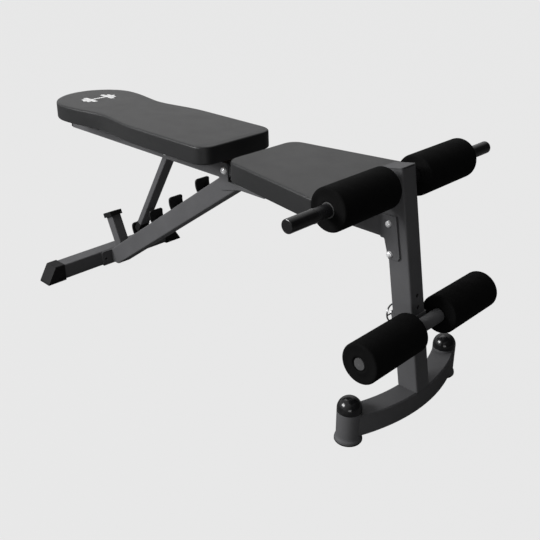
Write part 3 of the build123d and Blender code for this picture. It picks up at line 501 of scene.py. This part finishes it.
def upholster(name, node, board, body, spine_start, spine_end):
    """A vinyl covered foam pad: crisp rolled edges, a slight crown, the cover folded under the board."""
    low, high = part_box(node)
    board_low, board_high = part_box(board)
    outline = pad_outline(node)
    normals = outward_normals(outline)
    count = len(outline)
    top, bottom = high.z - slack, low.z
    rim = low.z - board_low.z
    pocket = board_high.z + 0.0006
    lip = -min(0.0, rim) * 0.45
    under = 0.0035
    side_steps = 8
    section = []
    for step in range(6):
        turn = math.radians(90 * step / 5)
        section.append((slack + edge * (1 - math.sin(turn)), top - edge * (1 - math.cos(turn))))
    wall_from, wall_to = top - edge, bottom + under
    for step in range(1, side_steps):
        share = step / side_steps
        section.append((slack * (1 - share), wall_from + (wall_to - wall_from) * share))
    for step in range(5):
        turn = math.radians(90 * step / 4)
        section.append((under * (1 - math.cos(turn)), wall_to - under * math.sin(turn)))
    fold_inset = 0.026
    board_inset = 0.0105
    section += [(0.0065, bottom), (board_inset, bottom + 0.0001), (0.015, bottom + 0.0001),
                (0.0205, bottom + 0.0001), (fold_inset, bottom + 0.0001), (fold_inset, bottom + lip),
                (0.0205, bottom + lip), (0.015, bottom + lip), (board_inset - 0.0004, bottom + lip),
                (board_inset - 0.0004, (bottom + pocket) / 2), (board_inset - 0.0004, pocket)]
    fold_first = 6 + side_steps - 1 + 5 + 1
    shape = bmesh.new()
    layer = shape.verts.layers.float.new("held")
    rings = []
    spine = [Vector((min(max(p.x, spine_start), spine_end), 0.0)) for p in outline]

    def ring(places, z_values, weight):
        made = []
        for place, z in zip(places, z_values):
            made.append(shape.verts.new((place.x, place.y, z)))
            made[-1][layer] = weight
        rings.append(made)
        return made

    dome_steps = 24
    inner = [p - n * section[0][0] for p, n in zip(outline, normals)]
    for step in range(dome_steps):
        share = step / dome_steps
        places = [s.lerp(p, share) for s, p in zip(spine, inner)]
        ring(places, [top] * count, 0.0)
    bend = [0.0] * count
    for i in range(count):
        bend[i] = (normals[(i + 2) % count] - normals[i - 2]).length
    for order, (inset, z) in enumerate(section):
        places = [p - n * inset for p, n in zip(outline, normals)]
        depth = (top - z) / (top - bottom)
        weight = 0.0 if depth < 0.45 else min(1.0, (depth - 0.45) / 0.4)
        pleats = fold_first <= order <= fold_first + 3
        heights = []
        for i in range(count):
            gather = 0.5 * (1 + math.sin(i * 2.1)) * min(1.0, bend[i] * 4)
            heights.append(z - pleat_depth * gather if pleats else z)
        ring(places, heights, 1.0 if order >= fold_first - 3 else weight)
    inner = [p - n * section[-1][0] for p, n in zip(outline, normals)]
    ceiling_steps = 8
    for step in range(1, ceiling_steps + 1):
        places = [p.lerp(s, step / ceiling_steps) for s, p in zip(spine, inner)]
        ring(places, [pocket] * count, 1.0)
    for first, second in zip(rings, rings[1:]):
        for i in range(count):
            j = (i + 1) % count
            shape.faces.new((first[i], second[i], second[j], first[j]))
    bmesh.ops.remove_doubles(shape, verts=shape.verts, dist=0.0002)
    bmesh.ops.dissolve_degenerate(shape, edges=shape.edges, dist=0.00005)
    bmesh.ops.recalc_face_normals(shape, faces=shape.faces)
    shape.verts.ensure_lookup_table()
    held = [v[layer] for v in shape.verts]
    mesh = bpy.data.meshes.new(name)
    shape.to_mesh(mesh)
    shape.free()
    piece = new_piece(name, mesh, "vinyl", body)
    swell(piece, swell_cap, held)
    shade_smooth(mesh)
    smooth = piece.modifiers.new("smooth", "SUBSURF")
    smooth.levels = smooth.render_levels = 1
    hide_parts(node)
    return piece


back_low, back_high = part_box("back_pad")
back_half = (back_high.y - back_low.y) / 2
back_vinyl = upholster("back_pad_vinyl", "back_pad", "back_board", "backrest",
                       back_low.x + back_half, back_high.x - back_half * 0.8)
seat_low, seat_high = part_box("seat_pad")
seat_half = (seat_high.y - seat_low.y) / 2
upholster("seat_pad_vinyl", "seat_pad", "seat_board", "frame",
          seat_low.x + seat_half * 0.6, seat_high.x - seat_half * 0.8)

# ---------------------------------------------------------------- printed mark on the back pad
bpy.context.evaluated_depsgraph_get()  # brings the pad up to date, so that rays can hit it


def surface_height(piece, x, y):
    """Height of the top of a piece at (x, y)."""
    hit, place, _, _ = piece.ray_cast(Vector((x, y, 1.0)), Vector((0, 0, -1)))
    return place.z if hit else back_high.z


def printed_mark():
    """A plain dumbbell printed in white near the head: a bar with two plates at each end."""
    centre_x = back_low.x + 0.118
    proud, thick = 0.00035, 0.0005
    shape = bmesh.new()
    blocks = [(-0.052, -0.046, 0.005), (-0.046, -0.036, 0.019), (-0.034, -0.022, 0.029),
              (-0.022, 0.022, 0.0042), (0.022, 0.034, 0.029), (0.036, 0.046, 0.019), (0.046, 0.052, 0.005)]
    for y_from, y_to, half in blocks:
        across, along = max(2, round((y_to - y_from) / 0.004)), max(2, round(2 * half / 0.004))
        corner = min(0.0032, half * 0.8, (y_to - y_from) * 0.4)
        layers = []
        for lift in (proud, proud - thick):
            grid = []
            for i in range(along + 1):
                row = []
                for j in range(across + 1):
                    x = -half + 2 * half * i / along
                    y = y_from + (y_to - y_from) * j / across
                    middle = (y_from + y_to) / 2
                    reach_x, reach_y = half - corner, (y_to - y_from) / 2 - corner
                    out_x, out_y = abs(x) - reach_x, abs(y - middle) - reach_y
                    if out_x > 0 and out_y > 0 and math.hypot(out_x, out_y) > corner:
                        pull = corner / math.hypot(out_x, out_y)
                        x = math.copysign(reach_x + out_x * pull, x)
                        y = middle + math.copysign(reach_y + out_y * pull, y - middle)
                    z = surface_height(back_vinyl, centre_x + x, y)
                    row.append(shape.verts.new((centre_x + x, y, z + lift)))
                grid.append(row)
            layers.append(grid)
        for grid in layers:
            for i in range(along):
                for j in range(across):
                    shape.faces.new((grid[i][j], grid[i + 1][j], grid[i + 1][j + 1], grid[i][j + 1]))
        upper, lower = layers
        rim = [(i, 0) for i in range(along)] + [(along, j) for j in range(across)]
        rim += [(i, across) for i in range(along, 0, -1)] + [(0, j) for j in range(across, 0, -1)]
        for (i, j), (k, m) in zip(rim, rim[1:] + rim[:1]):
            shape.faces.new((upper[i][j], upper[k][m], lower[k][m], lower[i][j]))
    bmesh.ops.recalc_face_normals(shape, faces=shape.faces)
    mesh = bpy.data.meshes.new("pad_mark")
    shape.to_mesh(mesh)
    shape.free()
    piece = new_piece("pad_mark", mesh, "vinyl", "backrest")
    piece.data.materials.clear()
    piece.data.materials.append(mark_ink("mark_ink"))
    return piece


def mark_ink(name):
    """Screen printed white ink: slightly worn, with the vinyl's grain showing through."""
    s = Shader(name)
    worn = s.spread(s.noise(380.0, 5.0, 0.7), 0.56, 0.7)
    s.colour(s.mix(s.math("MULTIPLY", worn, 0.5), (0.72, 0.72, 0.72), (0.3, 0.3, 0.3)))
    s.rough(s.spread(s.noise(90.0), 0.3, 0.7, 0.45, 0.6))
    s.bump(s.voronoi(430.0, "SMOOTH_F1"), 0.0001, 0.5)
    return s.material


printed_mark()

# ---------------------------------------------------------------- floor, light and camera


def camera_share(shader):
    """1 for what the camera sees directly, 0 for light that bounces."""
    return shader.add("ShaderNodeLightPath").outputs["Is Camera Ray"]


def studio_floor():
    """A pale floor that runs far past the frame, evenly bright to the camera with a faint shadow."""
    s = Shader("studio_floor")
    cloud = s.spread(s.noise(0.7, 3.0), 0.3, 0.7)
    s.colour(s.mix(cloud, (0.14, 0.14, 0.14), (0.15, 0.15, 0.15)))
    s.set(Roughness=0.95, Specular_IOR_Level=0.0)
    glow = s.add("ShaderNodeEmission")
    glow.inputs["Color"].default_value = (*floor_glow_colour, 1)
    blend = s.add("ShaderNodeMixShader")
    s.link(s.math("MULTIPLY", camera_share(s), floor_glow_share), blend.inputs["Fac"])
    s.link(s.surface.outputs["BSDF"], blend.inputs[1])
    s.link(glow.outputs["Emission"], blend.inputs[2])
    s.link(blend.outputs["Shader"], s.tree.nodes["Material Output"].inputs["Surface"])
    mesh = bpy.data.meshes.new("studio_floor")
    shape = bmesh.new()
    bmesh.ops.create_grid(shape, x_segments=8, y_segments=8, size=60.0)
    shape.to_mesh(mesh)
    shape.free()
    floor = bpy.data.objects.new("studio_floor", mesh)
    floor.location.z = cad_low.z - 0.0005
    floor.data.materials.append(s.material)
    bpy.context.scene.collection.objects.link(floor)


def studio_world():
    """An even backdrop for the camera; softer light from one side for the object."""
    world = bpy.data.worlds.new("studio")
    world.use_nodes = True
    tree = world.node_tree
    sky = tree.nodes["Background"]
    place = tree.nodes.new("ShaderNodeTexCoord").outputs["Generated"]
    aim = tree.nodes.new("ShaderNodeVectorMath")
    aim.operation = "DOT_PRODUCT"
    aim.inputs[1].default_value = Vector((-0.8, -0.25, 0.55)).normalized()
    tree.links.new(place, aim.inputs[0])
    level = tree.nodes.new("ShaderNodeMapRange")
    level.interpolation_type = "SMOOTHSTEP"
    for key, number in (("From Min", -0.15), ("From Max", 0.45), ("To Min", 0.045), ("To Max", 0.62)):
        level.inputs[key].default_value = number
    tree.links.new(aim.outputs["Value"], level.inputs["Value"])
    mix = tree.nodes.new("ShaderNodeMix")
    mix.data_type = "RGBA"
    colours = [entry for entry in mix.inputs if entry.type == "RGBA"]
    colours[1].default_value = (*backdrop_colour, 1)
    tree.links.new(tree.nodes.new("ShaderNodeLightPath").outputs["Is Camera Ray"], mix.inputs["Factor"])
    tree.links.new(level.outputs["Result"], colours[0])
    tree.links.new([entry for entry in mix.outputs if entry.type == "RGBA"][0], sky.inputs["Color"])
    bpy.context.scene.world = world


def studio_light(name, place, target, size, power):
    data = bpy.data.lights.new(name, "AREA")
    data.shape = "RECTANGLE"
    data.size, data.size_y = size
    data.energy = power
    lamp = bpy.data.objects.new(name, data)
    lamp.location = place
    lamp.rotation_euler = (Vector(target) - Vector(place)).to_track_quat("-Z", "Y").to_euler()
    bpy.context.scene.collection.objects.link(lamp)


backdrop_colour = (0.807, 0.807, 0.807)
floor_glow_colour = (0.834, 0.834, 0.834)
floor_glow_share = 0.96
bpy.context.scene.view_settings.view_transform = "Standard"
studio_floor()
studio_world()
middle = (cad_low + cad_high) / 2
studio_light("key", (-1.2, -2.5, 1.75), middle, (1.6, 1.0), 105)
studio_light("top", (-1.2, 0.6, 2.8), middle, (2.4, 1.6), 18)
studio_light("front_fill", (2.3, -2.2, 0.35), middle, (1.2, 0.6), 9)

azimuth, elevation, roll = (math.radians(a) for a in (44.92, 25.99, -0.27))
camera_place = Vector((1.32015, -1.1636, 0.9929))
back = Vector((math.sin(azimuth) * math.cos(elevation), -math.cos(azimuth) * math.cos(elevation),
               math.sin(elevation)))
level = Vector((math.cos(azimuth), math.sin(azimuth), 0.0))
lift = back.cross(level)
right = level * math.cos(roll) + lift * math.sin(roll)
up = lift * math.cos(roll) - level * math.sin(roll)
lens = bpy.data.cameras.new("photo_view")
lens.lens = 50.15
lens.sensor_width = 36.0
lens.clip_start, lens.clip_end = 0.01, 200.0
camera = bpy.data.objects.new("photo_view", lens)
camera.matrix_world = Matrix.Translation(camera_place) @ Matrix((right, up, back)).transposed().to_4x4()
bpy.context.scene.collection.objects.link(camera)
bpy.context.scene.camera = camera
